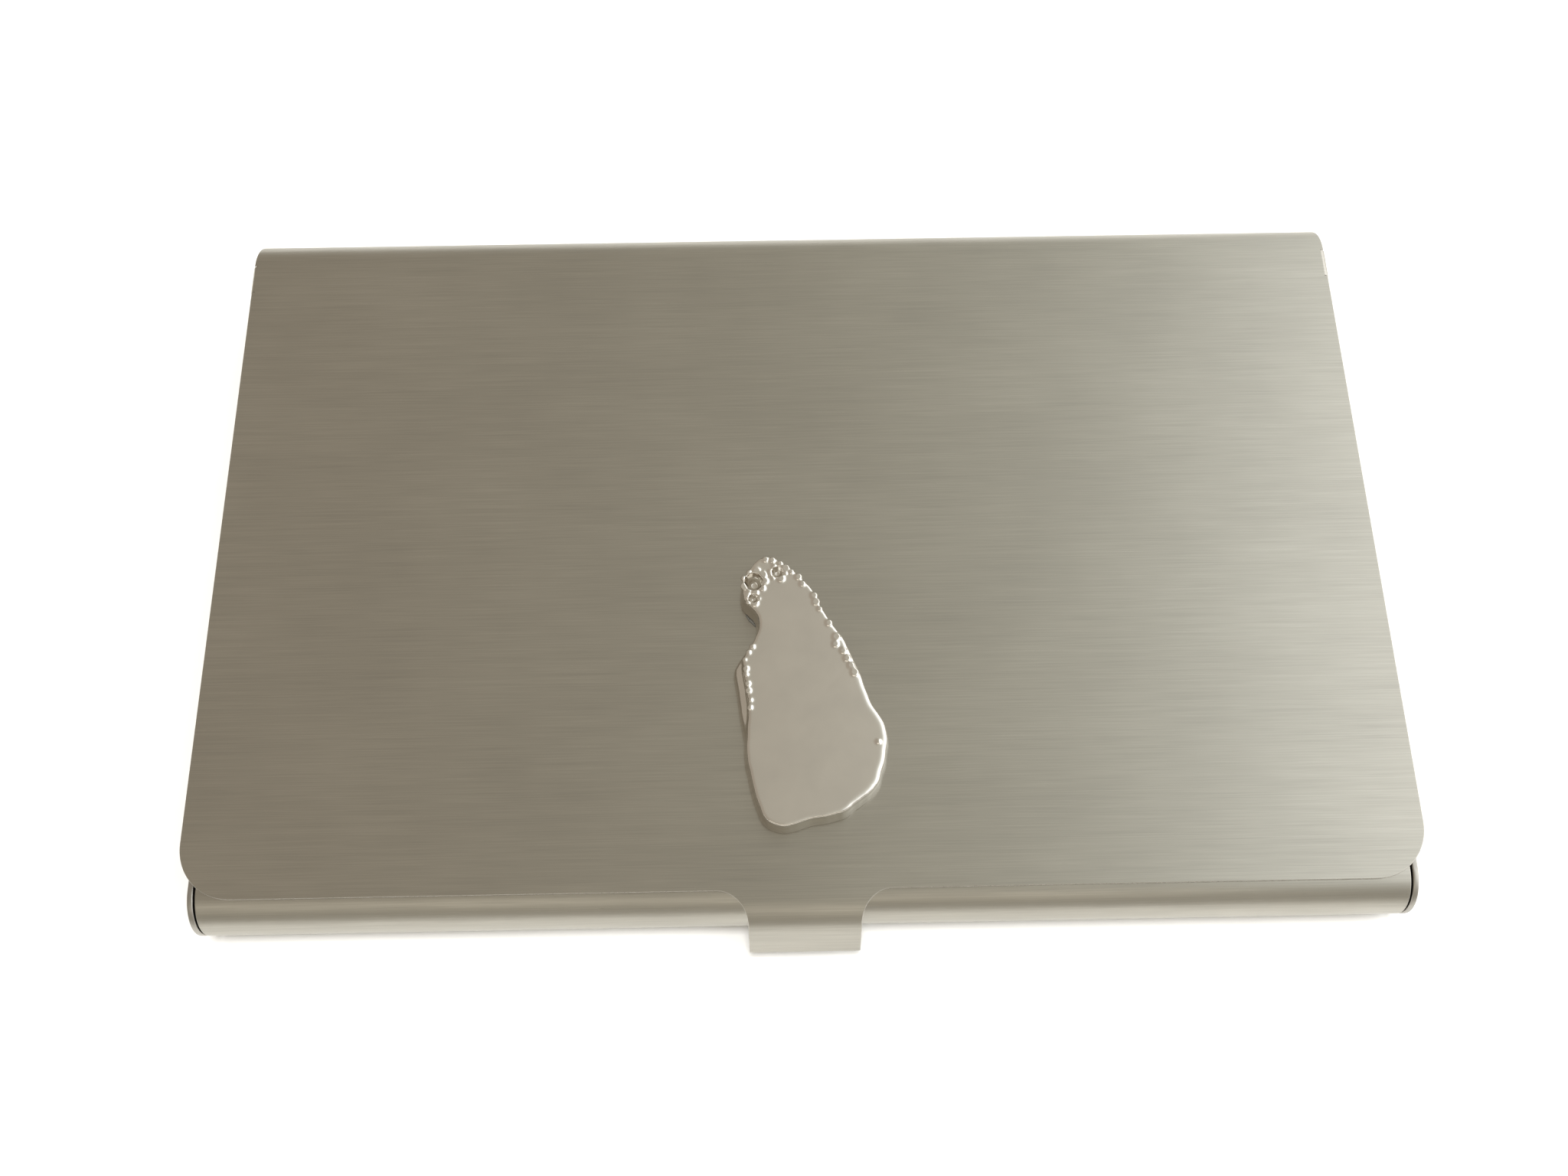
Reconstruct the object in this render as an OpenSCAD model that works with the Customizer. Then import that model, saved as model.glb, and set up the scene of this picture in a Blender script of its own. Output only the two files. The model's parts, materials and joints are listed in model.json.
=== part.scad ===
// Flip-top business card case in brushed stainless steel sheet.
// Origin: bottom centre of the closed case. +X is the width, -Y is the front with the thumb tab, +Z is up.
// The base is one sheet with a half-round roll along its front; two end plates stand on it and carry the hinge.
// The lid is one sheet: a flat plate with a thumb tab in front and a roll behind that ends in a card lifter.

/* [Case] */
// Width of the lid, side to side
case_w = 94; // [60:1:160]
// Lid from its front edge to the back of its roll
lid_d = 57.5; // [40:0.5:120]
// Height of the closed case, without the charm
case_h = 6.8; // [6:0.1:14]
// Thickness of the stainless sheet
sheet_t = 0.45; // [0.3:0.05:0.6]
// Radius of the lid's front corners
corner_r = 4.2; // [1:0.1:8]

/* [Fits] */
// Gap between the lid's underside and the base's roll and end plates
lid_gap = 0.08; // [0.05:0.01:0.3]
// Gap between the cut ends of the front roll and the end plates
roll_end_gap = 0.15; // [0.1:0.05:0.4]
// Gap between the lid's turning parts and the end plates, feet and floor
swing_gap = 0.3; // [0.2:0.05:0.5]
// Radial clearance of a rivet shank in a lid ear
pin_clearance = 0.05; // [0.02:0.01:0.1]
// Side play between each lid ear and the washer inside it, and between the ear and the rivet head outside it
ear_play = 0.04; // [0.01:0.01:0.08]

/* [Front roll] */
// How far the roll stands out in front of the lid's front edge
roll_reach = 2.3; // [0.5:0.1:2.8]
// Flat lip behind the crest of the roll
roll_lip = 1.5; // [0.5:0.1:4]

/* [Thumb tab] */
// Width of the tab
tab_w = 8.5; // [5:0.1:30]
// Radius of the fillets where the tab leaves the lid's front edge
tab_fillet_r = 2.4; // [0.5:0.1:2.5]
// Inner radius of the tab's bend, which clears the front roll
tab_inner_r = 2.95; // [2.85:0.05:3.3]
// Angle through which the tab is bent down
tab_bend_angle = 65; // [55:1:75]
// Straight leg below the bend
tab_leg = 2.8; // [1:0.1:3.6]

/* [Rear roll and lifter] */
// Angle above the horizontal at which the rear roll narrows to pass between the end plates
roll_step_angle = 20; // [5:1:20]
// Length of the card lifter ahead of the hinge axis
lifter_l = 6; // [3:0.5:12]
// Radius of the lifter's front corners
lifter_corner_r = 2; // [0.5:0.1:4]

/* [End plates] */
// Width of the foot flange that is bonded to the floor
foot_w = 4; // [2:0.1:8]
// Radius of each end plate's hinge end
hinge_end_r = 2.65; // [2:0.05:2.65]

/* [Hinge] */
// Radius of the lid's ears round the hinge
ear_r = 2.5; // [1.8:0.1:2.6]
// Outer bend radius where each ear leaves the lid's side edge
ear_bend_r = 0.4; // [0.2:0.05:0.45]
// Diameter of the rivet shank
pin_d = 1.6; // [1:0.1:2]
// Diameter of the rivet's outer head
head_d = 3; // [2.4:0.1:4]
// Height of the rivet's outer head
head_h = 0.35; // [0.2:0.05:0.6]
// Diameter of the rivet's inner, upset head
upset_d = 2.6; // [2.2:0.1:3]
// Height of the upset head
upset_h = 0.25; // [0.15:0.05:0.3]
// Outer diameter of the friction washer
washer_d = 4; // [3:0.1:5]
// Thickness of the friction washer
washer_t = 0.26; // [0.1:0.02:0.5]

/* [Charm] */
// Charm centre to the right of the lid's centre line
charm_x = 0.7; // [-30:0.1:30]
// Charm centre behind the lid's front edge
charm_y = 15; // [12:0.1:40]
// Thickness of the cast charm
charm_h = 2.4; // [1:0.1:4]
// Thickness of the adhesive under it
glue_h = 0.1; // [0.05:0.05:0.3]
// How far the adhesive stays inside the charm's outline, as a scale
glue_scale = 0.92; // [0.5:0.01:1]

/* [Hidden] */
$fn = 96;
eps = 0.01;
half_w = case_w / 2;

// Front roll of the base
roll_r = (case_h - sheet_t - lid_gap) / 2;

// Rear roll of the lid: its centre line is the hinge axis
rear_r = case_h / 2;
hinge_z = rear_r;

// Depth stations, from the front of the tab to the back of the rear roll
tab_bend_r = tab_inner_r + sheet_t;
tab_end_angle = 90 - tab_bend_angle;
tab_out = tab_bend_r * cos(tab_end_angle) + tab_leg * sin(tab_end_angle);
case_d = lid_d + tab_out;
lid_front_y = -case_d / 2 + tab_out;
lid_rear_y = lid_front_y + lid_d;
hinge_y = lid_rear_y - rear_r;
roll_y = lid_front_y - roll_reach + roll_r;

// Width stations, from the side edge inwards
ear_in_x = half_w - sheet_t;
plate_out_x = ear_in_x - ear_play - washer_t;
plate_in_x = plate_out_x - sheet_t;
rear_roll_x = plate_in_x - swing_gap;
floor_x = plate_in_x - roll_end_gap;
foot_in_x = plate_in_x - foot_w;
lifter_x = foot_in_x - swing_gap;

// The lifter's tip swings on this radius, and the floor's rear edge clears it
lifter_tip_r = sqrt(pow(lifter_l, 2) + pow(rear_r, 2));
floor_back = sqrt(pow(lifter_tip_r, 2) - pow(rear_r - sheet_t, 2)) + swing_gap / 2;
floor_rear_y = hinge_y - floor_back;

// The rear roll sweeps this far ahead of the hinge axis at the floor's and at the feet's top face
leg_rear_y = hinge_y - sqrt(pow(rear_r, 2) - pow(rear_r - sheet_t, 2)) - swing_gap;
foot_rear_y = hinge_y - sqrt(pow(rear_r, 2) - pow(rear_r - 2 * sheet_t, 2)) - swing_gap;
plate_body_rear_y = leg_rear_y + swing_gap;

// The tab's strip starts this far back inside the lid plate
tab_root = 1;

// Charm outline: chosen points round an island shape, joined by a smooth closed curve
charm_points = [
    [-3.4, 10.9], [-1.6, 10.2], [0.4, 8.2], [1.8, 5.6], [3.1, 3.6], [4.1, 1.2],
    [4.8, -0.9], [5.8, -2.8], [6.1, -4.4], [5.6, -6.5], [4.8, -8.2], [2.3, -10.0],
    [-0.1, -10.5], [-2.2, -11.0], [-3.8, -10.2], [-4.5, -8.5], [-5.1, -5.8], [-5.3, -3.4],
    [-5.7, -0.6], [-5.9, 1.7], [-4.5, 3.8], [-4.2, 5.5], [-5.3, 6.9], [-5.1, 9.2]
];
charm_steps = 4;

// Catmull-Rom curve through p1 and p2, at t from 0 to 1
function curve_point(p0, p1, p2, p3, t) =
    0.5 * (2 * p1 + (p2 - p0) * t + (2 * p0 - 5 * p1 + 4 * p2 - p3) * pow(t, 2)
        + (3 * p1 - p0 - 3 * p2 + p3) * pow(t, 3));

function smooth_loop(points, steps) = [
    for (i = [0 : len(points) - 1], s = [0 : steps - 1])
        curve_point(points[(i + len(points) - 1) % len(points)], points[i],
            points[(i + 1) % len(points)], points[(i + 2) % len(points)], s / steps)
];

// Turns a shape drawn in (y, z) into a bar along X, centred on x = 0
module along_x(length) {
    rotate([90, 0, 90])
        linear_extrude(length, center = true)
            children();
}

// Sheet bent round an X axis: outer radius r, from angle a0 to a1, counted from +Y up to +Z
module bend(r, width, a0, a1) {
    rotate([90, 0, 90])
        rotate([0, 0, a0])
            rotate_extrude(angle = a1 - a0)
                translate([r - sheet_t, -width / 2])
                    square([sheet_t, width]);
}

// Rectangle with two of its corners rounded, the ones at y = 0, from x = -w/2 to w/2
module round_front(w, d, r) {
    translate([-w / 2, r])
        square([w, d - r]);
    translate([-w / 2 + r, 0])
        square([w - 2 * r, r + eps]);
    for (side = [-1, 1])
        translate([side * (w / 2 - r), r])
            circle(r);
}

// Base: floor, front roll and the two legs that run back beside the lifter
module base_shell() {
    color("silver") {
        translate([-floor_x, roll_y, 0])
            cube([2 * floor_x, floor_rear_y - roll_y, sheet_t]);
        for (side = [-1, 1])
            translate([side > 0 ? foot_in_x : -floor_x, floor_rear_y, 0])
                cube([floor_x - foot_in_x, leg_rear_y - floor_rear_y, sheet_t]);
        translate([0, roll_y, roll_r])
            bend(roll_r, 2 * floor_x, 90, 270);
        translate([-floor_x, roll_y, 2 * roll_r - sheet_t])
            cube([2 * floor_x, roll_lip, sheet_t]);
    }
}

// Outline of an end plate in (y, z)
module end_plate_outline() {
    translate([roll_y, roll_r])
        circle(roll_r);
    translate([roll_y, 0])
        square([plate_body_rear_y - roll_y, 2 * roll_r]);
    translate([plate_body_rear_y - eps, hinge_z - hinge_end_r])
        square([hinge_y - plate_body_rear_y + eps, 2 * hinge_end_r]);
    translate([hinge_y, hinge_z])
        circle(hinge_end_r);
}

// End plate on the right (side = 1) or the left (side = -1): wall, rivet hole and foot flange
module end_plate(side) {
    color("lightslategray")
        mirror([side > 0 ? 0 : 1, 0, 0]) {
            translate([(plate_in_x + plate_out_x) / 2, 0, 0])
                along_x(sheet_t)
                    difference() {
                        end_plate_outline();
                        translate([hinge_y, hinge_z])
                            circle(d = pin_d);
                    }
            translate([foot_in_x, roll_y, sheet_t])
                cube([foot_w + eps, foot_rear_y - roll_y, sheet_t]);
        }
}

module left_end_plate() {
    end_plate(-1);
}

module right_end_plate() {
    end_plate(1);
}

// Ring of sheet in (y, z), with outer radius r, cut to the part inside its child
module ring_part(r) {
    intersection() {
        difference() {
            circle(r);
            circle(r - sheet_t);
        }
        children();
    }
}

// Thumb tab in (y, z): its root in the plate, the bend from the lid's front edge on, and the straight leg
module tab_section() {
    reach = 2 * tab_bend_r;
    translate([lid_front_y, case_h - tab_bend_r]) {
        translate([0, tab_bend_r - sheet_t])
            square([tab_root, sheet_t]);
        ring_part(tab_bend_r)
            difference() {
                translate([-reach, 0])
                    square(reach);
                rotate(-tab_end_angle)
                    translate([-reach, -reach])
                        square([2 * reach, reach]);
            }
        rotate(-tab_end_angle)
            translate([-tab_bend_r, -tab_leg])
                square([sheet_t, tab_leg]);
    }
}

// Thumb tab as seen from above, with the fillets at its root
module tab_plan() {
    strip_w = tab_w + 2 * tab_fillet_r;
    translate([0, lid_front_y])
        difference() {
            translate([-strip_w / 2, -2 * tab_out])
                square([strip_w, 2 * tab_out + tab_root]);
            for (side = [-1, 1]) {
                translate([side * strip_w / 2, -tab_fillet_r])
                    circle(tab_fillet_r);
                translate([side * strip_w / 2 - tab_fillet_r, -2 * tab_out - 1])
                    square([2 * tab_fillet_r, 2 * tab_out + 1 - tab_fillet_r]);
            }
        }
}

// Thumb tab: the bent strip, cut to its outline as seen from above
module tab() {
    intersection() {
        along_x(tab_w + 2 * tab_fillet_r)
            tab_section();
        linear_extrude(case_h + 1)
            tab_plan();
    }
}

// Takes the sharp edge off the outside of an ear's bend
module ear_bend_cutter(side) {
    translate([side * (half_w - ear_bend_r), hinge_y - ear_r, case_h - ear_bend_r])
        difference() {
            translate([side > 0 ? 0 : -1, 0, 0])
                cube([1, ear_r, 1]);
            rotate([-90, 0, 0])
                translate([0, 0, -1])
                    cylinder(r = ear_bend_r, h = ear_r + 2);
        }
}

// Ear: hinge lug bent down from the lid's side edge, with its rivet hole
module ear(side) {
    translate([side * (ear_in_x + half_w) / 2, hinge_y, hinge_z])
        along_x(sheet_t)
            difference() {
                union() {
                    circle(ear_r);
                    translate([-ear_r, 0])
                        square([ear_r, rear_r]);
                }
                circle(pin_d / 2 + pin_clearance);
            }
}

// Full-width stretch of the lid: plate and the upper part of the rear roll
module wide_stretch() {
    reach = 2 * rear_r;
    intersection() {
        along_x(case_w) {
            translate([lid_front_y, case_h - sheet_t])
                square([hinge_y - lid_front_y, sheet_t]);
            translate([hinge_y, hinge_z])
                ring_part(rear_r)
                    polygon([[0, 0], [0, reach], [reach, reach], [reach, reach * tan(roll_step_angle)]]);
        }
        translate([0, lid_front_y, 0])
            linear_extrude(case_h + 1)
                round_front(case_w, lid_d + 1, corner_r);
    }
}

// Stretch of the lid that passes between the end plates: the whole rear roll and the card lifter
module narrow_stretch() {
    reach = 2 * rear_r;
    difference() {
        translate([0, hinge_y, hinge_z])
            along_x(2 * rear_roll_x) {
                translate([-lifter_l, rear_r - sheet_t])
                    square([lifter_l, sheet_t]);
                ring_part(rear_r)
                    translate([0, -reach])
                        square([reach, 2 * reach]);
                translate([-lifter_l, -rear_r])
                    square([lifter_l, sheet_t]);
            }
        translate([0, hinge_y - lifter_l, -1])
            linear_extrude(1 + 2 * sheet_t)
                difference() {
                    translate([-case_w, -1])
                        square([2 * case_w, lifter_l + 1]);
                    round_front(2 * lifter_x, lifter_l + 1, lifter_corner_r);
                }
    }
}

// Lid: one sheet with its tab, rear roll, card lifter and two hinge ears
module lid_shell() {
    color("gainsboro") {
        difference() {
            union() {
                wide_stretch();
                for (side = [-1, 1])
                    ear(side);
            }
            for (side = [-1, 1])
                ear_bend_cutter(side);
        }
        narrow_stretch();
        tab();
    }
}

// Rivet: outer head on the ear, shank through ear, washer and end plate, upset head inside
module hinge_rivet(side) {
    color("darkgray")
        translate([0, hinge_y, hinge_z])
            rotate([0, side * 90, 0]) {
                translate([0, 0, plate_in_x - upset_h])
                    cylinder(d = upset_d, h = upset_h);
                translate([0, 0, plate_in_x])
                    cylinder(d = pin_d, h = half_w + ear_play - plate_in_x);
                translate([0, 0, half_w + ear_play])
                    cylinder(d1 = head_d, d2 = head_d - 2 * head_h, h = head_h);
            }
}

module left_hinge_rivet() {
    hinge_rivet(-1);
}

module right_hinge_rivet() {
    hinge_rivet(1);
}

// Friction washer between ear and end plate
module hinge_washer(side) {
    color("dimgray")
        translate([0, hinge_y, hinge_z])
            rotate([0, side * 90, 0])
                translate([0, 0, plate_out_x])
                    difference() {
                        cylinder(d = washer_d, h = washer_t);
                        translate([0, 0, -1])
                            cylinder(r = pin_d / 2 + pin_clearance, h = washer_t + 2);
                    }
}

module left_hinge_washer() {
    hinge_washer(-1);
}

module right_hinge_washer() {
    hinge_washer(1);
}

// Cast charm in the outline of an island
module charm() {
    color("whitesmoke")
        translate([charm_x, lid_front_y + charm_y, case_h + glue_h])
            linear_extrude(charm_h)
                polygon(smooth_loop(charm_points, charm_steps));
}

// Adhesive film under the charm
module charm_adhesive() {
    color("dimgray")
        translate([charm_x, lid_front_y + charm_y, case_h])
            linear_extrude(glue_h)
                polygon(smooth_loop(glue_scale * charm_points, charm_steps));
}

base_shell();
left_end_plate();
right_end_plate();
lid_shell();
left_hinge_rivet();
right_hinge_rivet();
left_hinge_washer();
right_hinge_washer();
charm();
charm_adhesive();
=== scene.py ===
# %% [markdown]
# # A flip-top business card case
# The case is folded from thin stainless sheet. The base is one sheet with a roll along its front, two end
# plates close its sides and carry the hinge, and the lid is one sheet with a thumb tab, a rear roll and a
# card lifter. A small cast charm is glued on top. This lesson builds what the eye sees around the exact
# working model: the sheets are cut flat, folded on a press brake made of nodes, thickened and deburred.

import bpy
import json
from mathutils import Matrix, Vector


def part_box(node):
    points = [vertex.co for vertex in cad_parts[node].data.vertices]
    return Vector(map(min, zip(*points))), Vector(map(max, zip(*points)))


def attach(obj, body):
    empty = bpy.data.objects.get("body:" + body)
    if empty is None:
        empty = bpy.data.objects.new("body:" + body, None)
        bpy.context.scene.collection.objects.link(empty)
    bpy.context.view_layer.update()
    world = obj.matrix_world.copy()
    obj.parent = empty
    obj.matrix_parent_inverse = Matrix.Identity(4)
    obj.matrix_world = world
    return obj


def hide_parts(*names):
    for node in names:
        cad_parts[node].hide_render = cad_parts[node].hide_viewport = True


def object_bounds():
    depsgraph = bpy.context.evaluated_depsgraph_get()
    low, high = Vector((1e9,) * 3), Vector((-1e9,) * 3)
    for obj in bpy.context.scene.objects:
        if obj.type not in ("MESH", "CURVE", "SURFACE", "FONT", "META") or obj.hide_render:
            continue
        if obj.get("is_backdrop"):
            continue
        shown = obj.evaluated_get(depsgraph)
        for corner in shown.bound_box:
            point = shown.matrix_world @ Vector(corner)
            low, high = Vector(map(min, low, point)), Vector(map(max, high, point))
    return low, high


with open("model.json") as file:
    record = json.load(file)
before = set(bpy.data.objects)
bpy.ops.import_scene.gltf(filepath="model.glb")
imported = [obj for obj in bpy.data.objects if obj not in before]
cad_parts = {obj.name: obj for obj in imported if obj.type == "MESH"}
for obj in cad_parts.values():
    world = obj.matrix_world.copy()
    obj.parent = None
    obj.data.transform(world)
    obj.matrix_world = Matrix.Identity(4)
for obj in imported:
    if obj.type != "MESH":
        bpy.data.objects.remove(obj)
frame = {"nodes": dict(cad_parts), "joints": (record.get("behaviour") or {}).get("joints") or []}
cad_low, cad_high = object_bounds()
print("exact model, mm:", [round(1000 * side, 2) for side in cad_high - cad_low])

# %% [markdown]
# ## Sizes
# Everything is in metres, so a millimetre is a small number with a name. Places come from the exact
# model's boxes and from its hinge. Only what a box can't tell, such as the sheet's thickness or the radius
# of a bend, is written down here.

# %% Modules and driving sizes
import json
import math

import bmesh
import bpy
from mathutils import Matrix, Vector, noise

MM = 0.001
SHEET = 0.45 * MM
TAB_WIDTH = 8.5 * MM
TAB_FILLET = 2.4 * MM
TAB_INNER_RADIUS = 2.95 * MM
TAB_BEND = math.radians(65)
TAB_LEG = 2.8 * MM
LID_CORNER = 4.2 * MM
EAR_RADIUS = 2.5 * MM
ROLL_STEP = math.radians(20)
LIFTER_LENGTH = 6 * MM
LIFTER_CORNER = 2 * MM
ROLL_LIP = 1.5 * MM
SWING_GAP = 0.3 * MM
SHANK_RADIUS = 0.8 * MM
SHANK_CLEARANCE = 0.05 * MM

# %% Places, read from the exact model
lid_low, lid_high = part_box("lid_shell")
base_low, base_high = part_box("base_shell")
plate_low, plate_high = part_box("right_end_plate")
hinge = Vector(frame["joints"][0]["pos_m"])
half_width = lid_high.x
case_height = lid_high.z
rear_radius = hinge.z
tab_radius = TAB_INNER_RADIUS + SHEET / 2
tab_reach = (TAB_INNER_RADIUS + SHEET) * math.sin(TAB_BEND) + TAB_LEG * math.cos(TAB_BEND)
lid_front = lid_low.y + tab_reach
roll_radius = base_high.z / 2
roll_axis = base_low.y + roll_radius
floor_half = base_high.x
foot_inside = plate_low.x
lifter_half = foot_inside - SWING_GAP
plate_inside = plate_high.x - SHEET
rear_roll_half = plate_inside - SWING_GAP
print("lid front edge at y", round(lid_front / MM, 3), "mm, hinge axis at y", round(hinge.y / MM, 3), "mm")

# %% [markdown]
# ## Camera, floor and light
# The case lies on a plain white table and is looked at from steeply above, close up, through a wide lens.
# Brushed metal shows its surroundings far more than its own colour, so the light is planned as reflections.
# The room is a warm grey on the left and overhead and turns, through a smooth ramp, into a bright window
# wall on the right, and the wall in front of the case stays dim. One broad lamp overhead lights only the
# table, as a lamp does that stands where no polished face mirrors it, and a weak strip light in front draws
# a soft line along the roll.

# %% Camera
LENS = 30.0
SENSOR_WIDTH = 36.0
VIEW_DISTANCE = 112 * MM
VIEW_AZIMUTH = math.radians(1.04)
VIEW_ELEVATION = math.radians(71.6)
VIEW_AIM = Vector((-1.07, -0.67, 0)) * MM


def aim_from(azimuth, elevation):
    """Unit vector from the aim point back to an eye at that azimuth and elevation."""
    return Vector((-math.sin(azimuth) * math.cos(elevation),
                   -math.cos(azimuth) * math.cos(elevation),
                   math.sin(elevation)))


camera_data = bpy.data.cameras.new("camera")
camera_data.lens = LENS
camera_data.sensor_width = SENSOR_WIDTH
camera_data.clip_start = 0.01
camera_data.clip_end = 20
camera = bpy.data.objects.new("camera", camera_data)
back = aim_from(VIEW_AZIMUTH, VIEW_ELEVATION)
camera.location = VIEW_AIM + VIEW_DISTANCE * back
camera.rotation_euler = (-back).to_track_quat("-Z", "Y").to_euler()
scene = bpy.context.scene
scene.collection.objects.link(camera)
scene.camera = camera
scene.view_settings.view_transform = "Standard"
print("camera at, mm:", [round(value / MM, 1) for value in camera.location])

# %% [markdown]
# Two helpers serve every node tree below. The first turns a colour as an artist writes it into the linear
# numbers that a renderer adds up. The second adds one node, fills its inputs and sets it; the stops of a
# colour ramp are pairs of a position and a colour. Two more open and close a material.

# %% Node helpers


def linear(hex_colour):
    """Linear RGBA of an sRGB colour such as #8A8276."""
    channels = [int(hex_colour[start:start + 2], 16) / 255 for start in (1, 3, 5)]
    return [c / 12.92 if c <= 0.04045 else ((c + 0.055) / 1.055) ** 2.4 for c in channels] + [1.0]


def add(tree, kind, inputs=None, **settings):
    """Adds a node with its settings, and gives each input a value or a link from a socket or a node."""
    node = tree.nodes.new(kind)
    stops = settings.pop("stops", [])
    for _ in stops[2:]:
        node.color_ramp.elements.new(0.5)
    for element, (position, colour) in zip(node.color_ramp.elements if stops else [], stops):
        element.position = position
        element.color = linear(colour)
    for name, value in settings.items():
        setattr(node, name, value)
    for name, value in (inputs or {}).items():
        if isinstance(value, (bpy.types.NodeSocket, bpy.types.Node)):
            source = value.outputs[0] if isinstance(value, bpy.types.Node) else value
            tree.links.new(source, node.inputs[name])
        else:
            node.inputs[name].default_value = value
    return node


def new_material(name):
    """An empty node material and its tree."""
    material = bpy.data.materials.new(name)
    material.use_nodes = True
    material.node_tree.nodes.clear()
    return material, material.node_tree


def close_material(tree, shader):
    """Links a finished shader to the material's output."""
    add(tree, "ShaderNodeOutputMaterial", {"Surface": shader})


# %% Soft studio light
ROOM_STRENGTH = 2.0
ROOM_RAMP = [(0.325, "#857E74"), (0.5, "#8E8A81"), (0.625, "#A5A49D"), (0.70, "#D4D6D4"), (0.775, "#FFFFFF")]
ROOM_FRONT = "#7F7A70"


def graded_room():
    """A room that brightens from its left wall, at ramp position 0, to its right; its front stays dim."""
    world = bpy.data.worlds.new("warm_grey_room")
    world.use_nodes = True
    tree = world.node_tree
    tree.nodes.clear()
    gaze = add(tree, "ShaderNodeTexCoord").outputs["Generated"]
    side = add(tree, "ShaderNodeSeparateXYZ", {0: gaze}).outputs
    share = add(tree, "ShaderNodeMapRange", {0: side["X"], 1: -1.0, 2: 1.0})
    walls = add(tree, "ShaderNodeValToRGB", {"Fac": share}, stops=ROOM_RAMP)
    frontness = add(tree, "ShaderNodeMapRange", {0: side["Y"], 1: -0.35, 2: -0.75})
    wall = add(tree, "ShaderNodeMix", {
        "Factor": frontness, 6: walls, 7: linear(ROOM_FRONT)}, data_type="RGBA")
    glow = add(tree, "ShaderNodeBackground", {"Color": wall.outputs[2], "Strength": ROOM_STRENGTH})
    add(tree, "ShaderNodeOutputWorld", {"Surface": glow})
    return world


def soft_lamp(name, place, width, depth, watts, colour, mirrored):
    """A rectangular area lamp that faces the case; only a mirrored one shows in reflections."""
    data = bpy.data.lights.new(name, "AREA")
    data.shape = "RECTANGLE"
    data.size = width
    data.size_y = depth
    data.energy = watts
    data.color = linear(colour)[:3]
    lamp = bpy.data.objects.new(name, data)
    lamp.location = place
    lamp.rotation_euler = (-Vector(place)).to_track_quat("-Z", "Y").to_euler()
    lamp.visible_glossy = mirrored
    scene.collection.objects.link(lamp)


scene.world = graded_room()
soft_lamp("table_lamp", (0.0, 0.0, 0.70), 0.16, 0.16, 3.4, "#FFFFFF", False)
soft_lamp("front_strip_light", (-0.06, -0.46, 0.40), 0.60, 0.18, 0.24, "#FFF8EC", True)
print("lamps:", [lamp.name for lamp in bpy.data.lights])

# %% [markdown]
# The table is matte paper. Its colour holds a painted pool of light: white round the case and fading to a
# pale grey further out, where the light would fall off. The grey keeps the far table from glaring in the
# roll. Paper isn't perfectly even: its fibres give it a cloudiness of a few millimetres that a noise
# texture imitates.

# %% Table
FLOOR_SIZE = 1.6
WHITE_REACH = 62 * MM
GREY_REACH = 100 * MM


def paper_white():
    """Matte white paper, soft and cloudy, no gloss; a painted pool of light greys it away from the case."""
    material, tree = new_material("matte_white_paper")
    place = add(tree, "ShaderNodeTexCoord").outputs["Object"]
    cloud = add(tree, "ShaderNodeTexNoise", {"Vector": place, "Scale": 180.0, "Detail": 4.0})
    tint = add(tree, "ShaderNodeMix", {
        "Factor": cloud, 6: linear("#F4F4F2"), 7: linear("#F9F9F8")}, data_type="RGBA")
    # Painted pool of light: the paper's colour turns from white near the case to grey further out.
    oval = add(tree, "ShaderNodeVectorMath", {0: place, 1: (0.6, 0.9, 1.0)}, operation="MULTIPLY")
    away = add(tree, "ShaderNodeVectorMath", {0: oval}, operation="LENGTH").outputs["Value"]
    fade = add(tree, "ShaderNodeMapRange", {0: away, 1: WHITE_REACH, 2: GREY_REACH})
    painted_light_pool = add(tree, "ShaderNodeMix", {
        "Factor": fade, 6: tint.outputs[2], 7: linear("#B9B7B2")}, data_type="RGBA")
    dent = add(tree, "ShaderNodeBump", {"Height": cloud, "Strength": 0.05, "Distance": 0.05 * MM})
    shader = add(tree, "ShaderNodeBsdfPrincipled", {
        "Base Color": painted_light_pool.outputs[2], "Roughness": 0.9, "Normal": dent})
    close_material(tree, shader)
    return material


floor_mesh = bpy.data.meshes.new("table")
corners = [(x * FLOOR_SIZE / 2, y * FLOOR_SIZE / 2, 0) for x, y in ((-1, -1), (1, -1), (1, 1), (-1, 1))]
floor_mesh.from_pydata(corners, [], [(0, 1, 2, 3)])
floor_mesh.materials.append(paper_white())
table = bpy.data.objects.new("table", floor_mesh)
scene.collection.objects.link(table)
table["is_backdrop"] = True
print("table:", FLOOR_SIZE, "m across")

# %% [markdown]
# ## Brushed stainless sheet
# The maker buys sheet that an abrasive belt has brushed in one direction, then cuts and folds it. So the
# grain runs along the sheet before it is bent, and the blanks below carry their flat pattern, in
# millimetres, as a UV map named flat_pattern. Every scratch texture reads that map. Brushing also makes the
# gloss uneven: a highlight spreads across the scratches and stays tight along them, which the anisotropic
# setting gives, turned a quarter because the map's first axis is the grain.
#
# All the metals here end alike: one pattern picks the colour, one the gloss, and one dents the surface.

# %% How every metal ends


def close_metal(tree, tone, stops, wear, dull, shiny, relief, extra=None):
    """Ends a metal: tone picks its colour, wear its roughness from dull to shiny, and relief is its bump."""
    colour = add(tree, "ShaderNodeValToRGB", {"Fac": tone}, stops=stops)
    gloss = add(tree, "ShaderNodeMapRange", {0: wear, 1: 0.3, 2: 0.7, 3: dull, 4: shiny})
    shader = add(tree, "ShaderNodeBsdfPrincipled", {
        "Base Color": colour, "Metallic": 1.0, "Roughness": gloss, "Normal": relief, **(extra or {})})
    close_material(tree, shader)


# %% Brushed finish
GRAIN_ANISOTROPY = 0.72


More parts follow.
